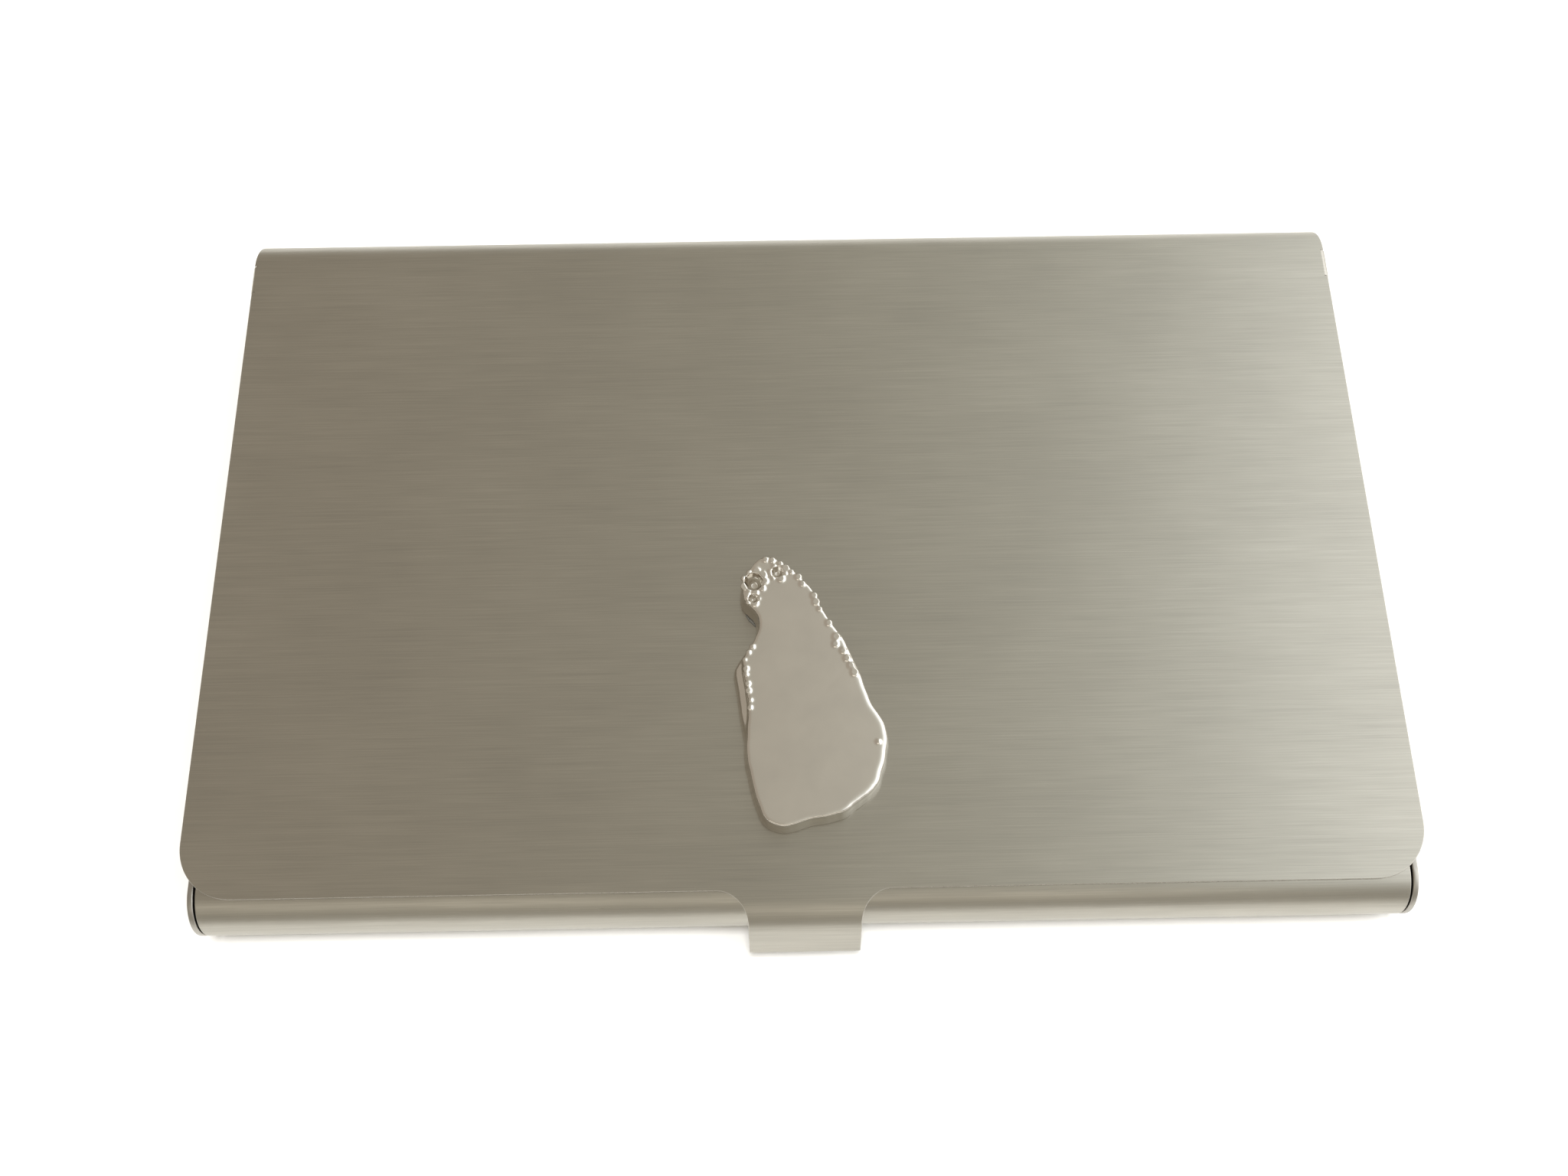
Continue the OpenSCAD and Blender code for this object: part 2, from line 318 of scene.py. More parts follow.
def stretched_noise(tree, source, along, across, detail, roughness, offset=0.0):
    """Noise on flat-pattern millimetres whose features are that long and that wide, in mm."""
    place = add(tree, "ShaderNodeMapping", {
        "Vector": source, "Location": (offset, offset, offset), "Scale": (1 / along, 1 / across, 1.0)})
    return add(tree, "ShaderNodeTexNoise", {
        "Vector": place, "Scale": 1.0, "Detail": detail, "Roughness": roughness})


def brushed_stainless():
    """304 stainless with a No. 4 brushed finish: 180 grit lines about 0.1 mm apart and 5 to 20 mm long."""
    material, tree = new_material("brushed_304_stainless")
    pattern = add(tree, "ShaderNodeUVMap", uv_map="flat_pattern")
    hairlines = stretched_noise(tree, pattern, 7.0, 0.09, 3.0, 0.6)
    strokes = stretched_noise(tree, pattern, 26.0, 0.55, 2.0, 0.55, 40.0)
    blotches = stretched_noise(tree, pattern, 14.0, 9.0, 3.0, 0.6, 90.0)
    grain = add(tree, "ShaderNodeMix", {"Factor": 0.25, 2: hairlines, 3: strokes})
    mixed = add(tree, "ShaderNodeMix", {"Factor": 0.30, 2: grain, 3: blotches})
    relief = add(tree, "ShaderNodeBump", {"Height": grain, "Strength": 0.25, "Distance": 0.012 * MM})
    tangent = add(tree, "ShaderNodeTangent", direction_type="UV_MAP", uv_map="flat_pattern")
    stops = [(0.34, "#ABA8A0"), (0.5, "#B4B1A8"), (0.66, "#BDBAB1")]
    close_metal(tree, mixed, stops, grain, 0.34, 0.27, relief, {
        "Anisotropic": GRAIN_ANISOTROPY, "Anisotropic Rotation": 0.25, "Tangent": tangent})
    return material


def mill_finish_stainless():
    """The sheet's unbrushed side, 2B mill finish: smooth, grey, faintly pebbled by the rolls."""
    material, tree = new_material("mill_finish_304_stainless")
    pattern = add(tree, "ShaderNodeUVMap", uv_map="flat_pattern")
    pebble = stretched_noise(tree, pattern, 0.35, 0.22, 4.0, 0.6)
    cloud = stretched_noise(tree, pattern, 16.0, 6.0, 3.0, 0.5, 20.0)
    relief = add(tree, "ShaderNodeBump", {"Height": pebble, "Strength": 0.2, "Distance": 0.01 * MM})
    close_metal(tree, cloud, [(0.3, "#A9A6A0"), (0.7, "#BAB7B0")], cloud, 0.34, 0.26, relief)
    return material


def deburred_edge():
    """The sheet's cut edge after tumbling: brighter and rounder than the faces."""
    material, tree = new_material("deburred_stainless_edge")
    place = add(tree, "ShaderNodeTexCoord").outputs["Object"]
    nicks = add(tree, "ShaderNodeTexNoise", {"Vector": place, "Scale": 4000.0, "Detail": 3.0})
    relief = add(tree, "ShaderNodeBump", {"Height": nicks, "Strength": 0.3, "Distance": 0.01 * MM})
    close_metal(tree, nicks, [(0.3, "#A9A69E"), (0.7, "#BDBAB3")], nicks, 0.36, 0.22, relief)
    return material


sheet_materials = [brushed_stainless(), mill_finish_stainless(), deburred_edge()]
print("sheet materials:", [material.name for material in sheet_materials])

# %% [markdown]
# ## Cutting the blanks
# A sheet part starts as a flat blank. Its outline is a list of corner points with arcs between them, drawn
# in the plane of the sheet: u runs across the case and v runs from its front to its back. Drawing half of
# it and mirroring that half keeps the blank symmetric. The blank is then scored with straight lines where
# it will bend, so that a bend gets enough facets to look round, while the flat stretches stay plain.

# %% Outline helpers
NEAR = 0.0002 * MM


def made_from(name, shape):
    """A new object in the scene with the finished shape as its mesh."""
    mesh = bpy.data.meshes.new(name)
    shape.to_mesh(mesh)
    shape.free()
    piece = bpy.data.objects.new(name, mesh)
    scene.collection.objects.link(piece)
    return piece


def arc(centre, radius, start, stop, steps):
    """Points of an arc in the blank, from angle start to stop, in degrees."""
    angles = [math.radians(start + (stop - start) * step / steps) for step in range(steps + 1)]
    return [(centre[0] + radius * math.cos(a), centre[1] + radius * math.sin(a)) for a in angles]


def mirrored(half):
    """Closes a right-hand half outline, listed front to back, with its mirror image."""
    return half + [(-u, v) for u, v in reversed(half) if abs(u) > 1e-9]


def cut_blank(name, outline, holes, scores, side_scores, height, face_up):
    """A flat mesh at that height, scored at each v in scores, with its flat pattern as UV map."""
    shape = bmesh.new()
    for loop in [outline] + holes:
        points = [shape.verts.new((u, v, 0)) for u, v in loop]
        for here, there in zip(points, points[1:] + points[:1]):
            shape.edges.new((here, there))
    bmesh.ops.triangle_fill(shape, use_beauty=True, edges=shape.edges[:])
    bmesh.ops.dissolve_limit(shape, angle_limit=0.01, verts=[], edges=shape.edges[:])
    for v in scores:
        bmesh.ops.bisect_plane(shape, geom=shape.verts[:] + shape.edges[:] + shape.faces[:],
                               dist=NEAR, plane_co=(0, v, 0), plane_no=(0, 1, 0))
    for u, v_low, v_high in side_scores:
        band = [face for face in shape.faces if v_low < face.calc_center_median().y < v_high]
        around = {part for face in band for part in [face, *face.edges, *face.verts]}
        bmesh.ops.bisect_plane(shape, geom=list(around), dist=NEAR, plane_co=(u, 0, 0), plane_no=(1, 0, 0))
    for face in shape.faces:
        if (face.normal.z > 0) != face_up:
            face.normal_flip()
    pattern = shape.loops.layers.uv.new("flat_pattern")
    for face in shape.faces:
        for corner in face.loops:
            corner[pattern].uv = (corner.vert.co.x / MM, corner.vert.co.y / MM)
    for point in shape.verts:
        point.co.z = height
    blank = made_from(name, shape)
    print(name, "blank:", len(blank.data.vertices), "points,", len(blank.data.polygons), "faces")
    return blank


def score_lines(start, length, count):
    """Lines that divide a bend of that flat length, from start, into equal facets."""
    return [start + length * step / count for step in range(count + 1)]


# %% [markdown]
# ## The press brake
# A press brake wraps everything beyond a straight line round a cylinder, and what is left over runs on
# straight. That rule is the whole shape of these parts, so it is a Geometry Nodes group. For a point at
# distance d past the line, the part of d that fits on the cylinder turns into an angle and the rest is
# carried along the new direction. The group is used once for each bend.

# %% Press brake node group


def new_tree(name, sockets):
    """A Geometry Nodes tree with those inputs after its geometry, and the sockets that give them."""
    tree = bpy.data.node_groups.new(name, "GeometryNodeTree")
    tree.interface.new_socket("Geometry", in_out="INPUT", socket_type="NodeSocketGeometry")
    for label, kind in sockets.items():
        tree.interface.new_socket(label, in_out="INPUT", socket_type="NodeSocket" + kind)
    tree.interface.new_socket("Geometry", in_out="OUTPUT", socket_type="NodeSocketGeometry")
    return tree, add(tree, "NodeGroupInput").outputs


# Each row is one arithmetic node: what it finds, how, and from what.
BEND_FORMULA = [
    ("beyond", "SUBTRACT", "depth", "Line"), ("past", "MAXIMUM", "beyond", 0.0),
    ("full turn", "DIVIDE", "past", "Radius"), ("turn", "MINIMUM", "full turn", "Angle"),
    ("wrapped", "MULTIPLY", "turn", "Radius"), ("rest", "SUBTRACT", "past", "wrapped"),
    ("sine", "SINE", "turn"), ("cosine", "COSINE", "turn"),
    ("arc along", "MULTIPLY", "Radius", "sine"), ("rest along", "MULTIPLY", "rest", "cosine"),
    ("along", "ADD", "arc along", "rest along"), ("forward", "SUBTRACT", "along", "past"),
    ("drop", "SUBTRACT", 1.0, "cosine"), ("arc lift", "MULTIPLY", "Radius", "drop"),
    ("rest lift", "MULTIPLY", "rest", "sine"), ("lift", "ADD", "arc lift", "rest lift")]


def press_brake_group():
    """Node group that bends the selected part of a sheet beyond a line."""
    tree, given = new_tree("press_brake", {"Away": "Vector", "Towards": "Vector", "Line": "Float",
                                           "Radius": "Float", "Angle": "Float", "Selection": "Bool"})
    place = add(tree, "GeometryNodeInputPosition")
    dot = add(tree, "ShaderNodeVectorMath", {0: place, 1: given["Away"]}, operation="DOT_PRODUCT")
    found = {label: given[label] for label in ("Line", "Radius", "Angle")}
    found["depth"] = dot.outputs["Value"]
    for result, operation, *parts in BEND_FORMULA:
        inputs = {slot: found.get(part, part) for slot, part in enumerate(parts)}
        found[result] = add(tree, "ShaderNodeMath", inputs, operation=operation)
    away = add(tree, "ShaderNodeVectorMath", {0: given["Away"], "Scale": found["forward"]}, operation="SCALE")
    up = add(tree, "ShaderNodeVectorMath", {0: given["Towards"], "Scale": found["lift"]}, operation="SCALE")
    shift = add(tree, "ShaderNodeVectorMath", {0: away, 1: up}, operation="ADD")
    bent = add(tree, "GeometryNodeSetPosition", {
        "Geometry": given["Geometry"], "Selection": given["Selection"], "Offset": shift})
    add(tree, "NodeGroupOutput", {"Geometry": bent})
    return tree


press_brake = press_brake_group()
print("press brake:", len(press_brake.nodes), "nodes")

# %% [markdown]
# A folding tree strings several press brake strokes together. Its inputs are the sizes a maker would dial
# in, named one by one, and the same tree works for any list of strokes. The ears at the lid's sides are
# marked with an attribute, because the rear roll must not take them along.

# %% Folding a blank


def close_tree(tree, shape, material):
    """Ends a tree: what it made becomes real mesh and takes the material."""
    real = add(tree, "GeometryNodeRealizeInstances", {"Geometry": shape})
    painted = add(tree, "GeometryNodeSetMaterial", {"Geometry": real, "Material": material})
    add(tree, "NodeGroupOutput", {"Geometry": painted})
    return tree


def folding_tree(name, strokes):
    """Geometry Nodes tree that makes the strokes in order; each is (label, away, towards, only_ears)."""
    sizes = {f"{label} {size}": "Float" for label, *_ in strokes for size in ("line", "radius", "angle")}
    tree, given = new_tree(name, {**sizes, "Material": "Material"})
    ear = add(tree, "GeometryNodeInputNamedAttribute", {"Name": "ear"}, data_type="BOOLEAN")
    sheet = add(tree, "FunctionNodeBooleanMath", {0: ear.outputs["Attribute"]}, operation="NOT")
    shape = given["Geometry"]
    for label, away, towards, only_ears in strokes:
        shape = add(tree, "GeometryNodeGroup", {
            "Geometry": shape, "Away": away, "Towards": towards,
            "Line": given[f"{label} line"], "Radius": given[f"{label} radius"],
            "Angle": given[f"{label} angle"],
            "Selection": ear.outputs["Attribute"] if only_ears else sheet}, node_tree=press_brake)
    return close_tree(tree, shape, given["Material"])


def run_tree(obj, tree, values):
    """Runs a Geometry Nodes tree on obj with those named inputs and keeps the plain mesh."""
    modifier = obj.modifiers.new(tree.name, "NODES")
    modifier.node_group = tree
    for item in tree.interface.items_tree:
        if item.in_out == "INPUT" and item.name in values:
            modifier[item.identifier] = values[item.name]
    keep_result(obj)


def keep_result(obj):
    """Replaces obj's mesh with its evaluated one and removes the modifiers."""
    shown = obj.evaluated_get(bpy.context.evaluated_depsgraph_get())
    result = bpy.data.meshes.new_from_object(shown)
    obj.modifiers.clear()
    old = obj.data
    obj.data = result
    result.name = old.name + "_made"


# %% [markdown]
# ## Thickness and deburring
# Solidify gives the folded surface the sheet's thickness, half to each side, and puts the mill finish on
# the inside and the cut-edge finish on the rim. A narrow bevel then takes the sharpness off every cut edge.
# Weighted normals keep the large faces looking truly flat next to it.

# %% Thicken and deburr
EDGE_ROUNDING = 0.07 * MM
SHARP = math.radians(40)
TIGHT_SHARE = 0.25


def deburr(obj, width, segments=3, tight=lambda place: False):
    """Rounds the sharp edges of obj, less where tight(place) says so, and keeps flat faces looking flat."""
    shape = bmesh.new()
    shape.from_mesh(obj.data)
    weight = shape.edges.layers.float.new("bevel_weight_edge")
    for edge in shape.edges:
        if len(edge.link_faces) == 2 and edge.calc_face_angle() > SHARP:
            narrow = all(tight(point.co) for point in edge.verts)
            edge[weight] = TIGHT_SHARE if narrow else 1.0
    shape.to_mesh(obj.data)
    shape.free()
    rounding = obj.modifiers.new("deburr", "BEVEL")
    rounding.width = width
    rounding.segments = segments
    rounding.limit_method = "WEIGHT"
    rounding.use_clamp_overlap = False
    keep_result(obj)
    for face in obj.data.polygons:
        face.use_smooth = True
    flat = obj.modifiers.new("flat_faces", "WEIGHTED_NORMAL")
    flat.keep_sharp = False
    flat.weight = 100
    keep_result(obj)


def thicken(obj):
    """Gives a folded sheet its thickness, an inside finish and an edge finish."""
    for material in sheet_materials[1:]:
        obj.data.materials.append(material)
    wall = obj.modifiers.new("thickness", "SOLIDIFY")
    wall.thickness = SHEET
    wall.offset = 0.0
    wall.use_even_offset = True
    wall.material_offset = 1
    wall.material_offset_rim = 2
    keep_result(obj)


# %% [markdown]
# ## The lid
# One blank makes the whole lid: the tab in front, the plate, two ears at the sides for the hinge, the wide
# and the narrow part of the rear roll, and the lifter that raises the cards when the lid opens. A bend eats
# up sheet, so places beyond a bend are measured along the middle of the sheet. Hair-thin relief slits beside
# each ear let it fold without tearing the plate, and the plate's side tapers in by a hair towards the ear,
# so that its edge runs straight into the ear's rounded fold.

# %% Lid blank
plate_mid = case_height - SHEET / 2
rear_mid_radius = rear_radius - SHEET / 2
tab_flat = tab_radius * TAB_BEND
rear_flat = rear_mid_radius * math.pi
EAR_BEND_RADIUS = 0.245 * MM
SLIT = 0.06 * MM
EAR_SETBACK = 0.18 * MM
ear_line = half_width - SHEET / 2 - EAR_BEND_RADIUS
ear_flat = EAR_BEND_RADIUS * math.pi / 2
ear_centre = ear_line + ear_flat + plate_mid - EAR_BEND_RADIUS - hinge.z
ear_front = hinge.y - EAR_RADIUS


def tab_depth(seen):
    """Flat distance past the lid's front edge for a point seen that far in front of it."""
    bend_seen = tab_radius * math.sin(TAB_BEND)
    if seen <= bend_seen:
        return tab_radius * math.asin(seen / tab_radius)
    return tab_flat + (seen - bend_seen) / math.cos(TAB_BEND)


def lid_outline():
    """The right half of the lid's blank, from the tab's tip to the lifter's."""
    half = TAB_WIDTH / 2
    tip = lid_front - tab_flat - TAB_LEG
    fillet = arc((half + TAB_FILLET, 0), TAB_FILLET, 180, 90, 14)
    points = [(0, tip), (half, tip)]
    points += [(u, lid_front - tab_depth(TAB_FILLET - depth)) for u, depth in fillet]
    points += arc((half_width - LID_CORNER, lid_front + LID_CORNER), LID_CORNER, -90, 0, 20)
    side = half_width - EAR_SETBACK
    points += [(side, ear_front - SLIT), (ear_line, ear_front - SLIT), (ear_line, ear_front)]
    points += arc((ear_centre, hinge.y), EAR_RADIUS, -90, 180, 40)
    points += [(ear_line, hinge.y), (ear_line, hinge.y + SLIT), (side, hinge.y + SLIT)]
    step = hinge.y + rear_mid_radius * (math.pi / 2 - ROLL_STEP)
    points += [(side, step), (rear_roll_half, step)]
    roll_end = hinge.y + rear_flat
    lifter_end = roll_end + LIFTER_LENGTH
    points += [(rear_roll_half, roll_end), (lifter_half, roll_end)]
    points += arc((lifter_half - LIFTER_CORNER, lifter_end - LIFTER_CORNER), LIFTER_CORNER, 0, 90, 12)
    points += [(0, lifter_end)]
    return mirrored(points)


ear_bore = SHANK_RADIUS + SHANK_CLEARANCE
bores = [arc((side * ear_centre, hinge.y), ear_bore, 0, 350, 35) for side in (1, -1)]
lid_scores = score_lines(lid_front, -tab_flat, 24)[1:] + score_lines(hinge.y, rear_flat, 60) + [ear_front]
ear_scores = [(side * u, ear_front, hinge.y) for u in score_lines(ear_line, ear_flat, 6) for side in (1, -1)]
lid = cut_blank("lid_sheet", lid_outline(), bores, lid_scores, ear_scores, plate_mid, True)

# %% Mark the ears, fold and finish the lid
marks = lid.data.attributes.new("ear", "BOOLEAN", "POINT")
for index, point in enumerate(lid.data.vertices):
    across = abs(point.co.x)
    beside = ear_front - NEAR < point.co.y < hinge.y + NEAR
    marks.data[index].value = across > half_width + NEAR or (across > ear_line + NEAR and beside)

FORWARD, BACKWARD = (0, -1, 0), (0, 1, 0)
RIGHT, LEFT = (1, 0, 0), (-1, 0, 0)
UP, DOWN = (0, 0, 1), (0, 0, -1)
lid_folds = folding_tree("fold_lid", [
    ("Right ear", RIGHT, DOWN, True), ("Left ear", LEFT, DOWN, True),
    ("Tab", FORWARD, DOWN, False), ("Rear roll", BACKWARD, DOWN, False)])
run_tree(lid, lid_folds, {
    "Right ear line": ear_line, "Right ear radius": EAR_BEND_RADIUS, "Right ear angle": math.pi / 2,
    "Left ear line": ear_line, "Left ear radius": EAR_BEND_RADIUS, "Left ear angle": math.pi / 2,
    "Tab line": -lid_front, "Tab radius": tab_radius, "Tab angle": TAB_BEND,
    "Rear roll line": hinge.y, "Rear roll radius": rear_mid_radius, "Rear roll angle": math.pi,
    "Material": sheet_materials[0]})
thicken(lid)


def beside_ear(place):
    """True in the slits on both sides of an ear, where there is no room for a full rounding."""
    reach = 2 * SLIT
    at_slit = min(abs(place.y - ear_front), abs(place.y - hinge.y)) < reach
    return at_slit and abs(place.x) > ear_line - reach and place.z > case_height - 2 * SHEET


deburr(lid, EDGE_ROUNDING, tight=beside_ear)
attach(lid, "lid")
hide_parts("lid_shell")
print("lid:", len(lid.data.polygons), "faces")

# %% [markdown]
# ## The base
# The base blank is a rectangle with a wide bay cut out of its rear edge, where the lifter swings, which
# leaves a leg on each side. Its front is rolled up and over by half a turn and ends in a short flat lip, the
# soft round edge that the thumb meets.

# %% Base blank, folding and finish
base_mid_radius = roll_radius - SHEET / 2
base_flat = base_mid_radius * math.pi
lifter_tip = math.hypot(LIFTER_LENGTH, rear_radius)
floor_rear = hinge.y - math.sqrt(lifter_tip ** 2 - (rear_radius - SHEET) ** 2) - SWING_GAP / 2
LIP_CORNER = 0.5 * MM
BAY_CORNER = 1.0 * MM


def base_outline():
    """The right half of the base's blank, from the lip of the roll to the end of the leg."""
    lip = roll_axis - base_flat - ROLL_LIP
    points = [(0, lip)]
    points += arc((floor_half - LIP_CORNER, lip + LIP_CORNER), LIP_CORNER, -90, 0, 6)
    points += [(floor_half, base_high.y), (foot_inside, base_high.y)]
    points += arc((foot_inside - BAY_CORNER, floor_rear + BAY_CORNER), BAY_CORNER, 0, -90, 8)
    points += [(0, floor_rear)]
    return mirrored(points)


base_scores = score_lines(roll_axis, -base_flat, 60)
base = cut_blank("base_sheet", base_outline(), [], base_scores, [], SHEET / 2, False)
base_folds = folding_tree("fold_base", [("Front roll", FORWARD, UP, False)])
run_tree(base, base_folds, {
    "Front roll line": -roll_axis, "Front roll radius": base_mid_radius, "Front roll angle": math.pi,
    "Material": sheet_materials[0]})
thicken(base)
deburr(base, EDGE_ROUNDING)
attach(base, "base")
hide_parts("base_shell")
print("base:", len(base.data.polygons), "faces")

# %% [markdown]
# ## End plates
# Each side of the case is closed by a stamped plate. Its front end follows the roll, so the two look like
# one rounded bar with a fine dark line between them, its rear end is a round lug for the hinge, and a foot
# turned inwards is spot-welded to the floor. The exact model's solid has the right shape, so a merged copy
# of it gets the one thing that it lacks, the rounded edge that tumbling leaves on a stamping.

# %% End plate finish


def stamped_stainless():
    """Stamped 304 plate, tumbled in ceramic media: satin, without direction, with fine random marks."""
    material, tree = new_material("tumbled_304_stainless")
    place = add(tree, "ShaderNodeTexCoord").outputs["Object"]
    satin = add(tree, "ShaderNodeTexNoise", {"Vector": place, "Scale": 2600.0, "Detail": 4.0})
    cloud = add(tree, "ShaderNodeTexNoise", {"Vector": place, "Scale": 260.0, "Detail": 3.0})
    relief = add(tree, "ShaderNodeBump", {"Height": satin, "Strength": 0.2, "Distance": 0.01 * MM})
    close_metal(tree, cloud, [(0.3, "#A5A29C"), (0.7, "#B9B6AF")], cloud, 0.42, 0.32, relief)
    return material


end_plate_finish = stamped_stainless()
print("end plate finish:", end_plate_finish.name)

# %% End plates
STAMPED_ROUNDING = 0.1 * MM


def merged_copy(node, name):
    """A copy of an exact solid with its loose triangles merged and its flat faces made whole."""
    shape = bmesh.new()
    shape.from_mesh(frame["nodes"][node].data)
    bmesh.ops.remove_doubles(shape, verts=shape.verts[:], dist=1e-6)
    bmesh.ops.dissolve_limit(shape, angle_limit=math.radians(0.5), verts=shape.verts[:], edges=shape.edges[:])
    return made_from(name, shape)


for side in ("left", "right"):
    node = f"{side}_end_plate"
    plate = merged_copy(node, f"{side}_side_plate")
    plate.data.materials.clear()
    plate.data.materials.append(end_plate_finish)
    deburr(plate, STAMPED_ROUNDING)
    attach(plate, "base")
    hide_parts(node)
    print(plate.name, len(plate.data.polygons), "faces")

# %% [markdown]
# ## Hinge rivets and washers
# The lid turns on two rivets. Each has a low domed head outside the ear, a shank, and inside the case an
# end that a punch has spread, with the punch's dimple in its middle. A washer between ear and plate is
# slightly dished, which presses the ear outwards and makes the lid stay where it is left. Round parts like
# these are turned shapes: a short profile is spun about the hinge axis. The pair is then placed by Geometry
# Nodes, one at each side, because the two are the same part.

# %% Spinning a profile


def spun(name, profile, axis, steps):
    """A part turned about the X or Z axis; profile lists (place along the axis, radius)."""
    shape = bmesh.new()
    across = Vector((axis.z, 0, axis.x))
    points = [shape.verts.new(along * axis + radius * across) for along, radius in profile]
    edges = [shape.edges.new(pair) for pair in zip(points, points[1:])]
    bmesh.ops.spin(shape, geom=points + edges, cent=(0, 0, 0), axis=axis, angle=2 * math.pi, steps=steps,
                   use_merge=True)
    bmesh.ops.remove_doubles(shape, verts=shape.verts[:], dist=1e-7)
    bmesh.ops.recalc_face_normals(shape, faces=shape.faces[:])
    for face in shape.faces:
        face.smooth = True
    return made_from(name, shape)


def pair_tree():
    """Geometry Nodes tree that puts one part, drawn for the right side, at both ends of the hinge."""
    tree, given = new_tree("hinge_pair", {"Hinge depth": "Float", "Hinge height": "Float", "Seed": "Int",
                                          "Material": "Material"})
    spot = add(tree, "ShaderNodeCombineXYZ", {"Y": given["Hinge depth"], "Z": given["Hinge height"]})
    ends = add(tree, "GeometryNodeMeshLine", {
        "Count": 2, "Start Location": spot, "Offset": (0.0, 0.0, 0.0)})
    index = add(tree, "GeometryNodeInputIndex")
    half_turn = add(tree, "ShaderNodeMath", {0: index, 1: math.pi}, operation="MULTIPLY")
    roll = add(tree, "FunctionNodeRandomValue", {
        2: 0.0, 3: 2 * math.pi, "ID": index, "Seed": given["Seed"]}, data_type="FLOAT").outputs[1]
    turned = add(tree, "ShaderNodeCombineXYZ", {"X": roll, "Z": half_turn})
    placed = add(tree, "GeometryNodeInstanceOnPoints", {
        "Points": ends.outputs["Mesh"], "Instance": given["Geometry"], "Rotation": turned})
    return close_tree(tree, placed, given["Material"])


hinge_pair = pair_tree()
print("hinge pair:", len(hinge_pair.nodes), "nodes")

# %% Rivet and washer finishes


def turned_metal(name, colours, roughness, ring_pitch):
    """A small turned or pressed steel part: faint rings round its axis, ring_pitch apart, and fine marks."""
    material, tree = new_material(name)
    place = add(tree, "ShaderNodeTexCoord").outputs["Object"]
    centred = add(tree, "ShaderNodeVectorMath", {0: place, 1: hinge}, operation="SUBTRACT")
    flat = add(tree, "ShaderNodeVectorMath", {0: centred, 1: (0, 1, 1)}, operation="MULTIPLY")
    reach = add(tree, "ShaderNodeVectorMath", {0: flat}, operation="LENGTH").outputs["Value"]
    phase = add(tree, "ShaderNodeMath", {0: reach, 1: ring_pitch / math.tau}, operation="DIVIDE")
    rings = add(tree, "ShaderNodeMath", {0: phase}, operation="SINE")
    marks = add(tree, "ShaderNodeTexNoise", {"Vector": place, "Scale": 5000.0, "Detail": 3.0})
    height = add(tree, "ShaderNodeMath", {0: rings, 1: 0.12, 2: marks}, operation="MULTIPLY_ADD")
    relief = add(tree, "ShaderNodeBump", {
        "Height": height, "Strength": 0.3, "Distance": 0.01 * MM})
    stops = [(0.35, colours[0]), (0.65, colours[1])]
    close_metal(tree, marks, stops, marks, roughness + 0.05, roughness - 0.05, relief)
    return material


rivet_finish = turned_metal("nickel_plated_rivet_steel", ("#BDB9B0", "#D3D0C8"), 0.24, 0.09 * MM)
washer_finish = turned_metal("rolled_spring_steel", ("#84837F", "#98968F"), 0.36, 0.16 * MM)
print("hinge finishes:", rivet_finish.name, washer_finish.name)

# %% Rivets
HINGE_AXIS = Vector((1, 0, 0))
ROUND_STEPS = 64
rivet_low, rivet_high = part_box("right_hinge_rivet")
head_radius = (rivet_high.z - rivet_low.z) / 2
EAR_PLAY = 0.04 * MM
head_base = half_width + EAR_PLAY
head_rise = rivet_high.x - head_base
UPSET_RADIUS = 1.3 * MM
DIMPLE_RADIUS = 0.45 * MM
DIMPLE_DEPTH = 0.12 * MM
DOME_STEPS = 10


def rivet_profile():
    """Profile of a rivet from the punched end inside the case to the top of its domed head."""
    upset_end = rivet_low.x
    points = [(upset_end + DIMPLE_DEPTH, 0), (upset_end + 0.6 * DIMPLE_DEPTH, 0.6 * DIMPLE_RADIUS),
              (upset_end + 0.05 * MM, DIMPLE_RADIUS), (upset_end, DIMPLE_RADIUS + 0.12 * MM)]
    bulge = (plate_inside - upset_end) / 2
    swell = [math.radians(180 - 180 * step / DOME_STEPS) for step in range(1, DOME_STEPS)]
    points += [(upset_end + bulge * (1 + math.cos(a)), UPSET_RADIUS - bulge * (1 - math.sin(a)))
               for a in swell]
    points += [(plate_inside, SHANK_RADIUS), (head_base, SHANK_RADIUS)]
    rim = 0.08 * MM
    points += [(head_base, head_radius - rim), (head_base + rim / 2, head_radius)]
    dome = [math.radians(90 * step / DOME_STEPS) for step in range(DOME_STEPS + 1)]
    points += [(head_base + rim + (head_rise - rim) * math.sin(a), head_radius * math.cos(a)) for a in dome]
    return points


rivets = spun("hinge_rivets", rivet_profile(), HINGE_AXIS, ROUND_STEPS)
run_tree(rivets, hinge_pair, {
    "Hinge depth": hinge.y, "Hinge height": hinge.z, "Seed": 3, "Material": rivet_finish})
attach(rivets, "base")
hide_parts("left_hinge_rivet", "right_hinge_rivet")
print("rivets:", len(rivets.data.polygons), "faces, box", [round(v / MM, 2) for v in rivets.dimensions])

# %% Washers
washer_low, washer_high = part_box("right_hinge_washer")
WASHER_SHEET = 0.16 * MM


def washer_profile():
    """Closed profile of a dished washer that just fills the gap between plate and ear."""
    bore = SHANK_RADIUS + SHANK_CLEARANCE
    rim = (washer_high.z - washer_low.z) / 2
    near, far = washer_low.x, washer_high.x
    soft = 0.04 * MM
    inner, outer = far - WASHER_SHEET, near + WASHER_SHEET
    return [(near + soft, rim), (near, rim - soft), (inner, bore + soft), (inner + soft, bore),
            (far - soft, bore), (far, bore + soft), (outer, rim - soft), (outer - soft, rim),
            (near + soft, rim)]


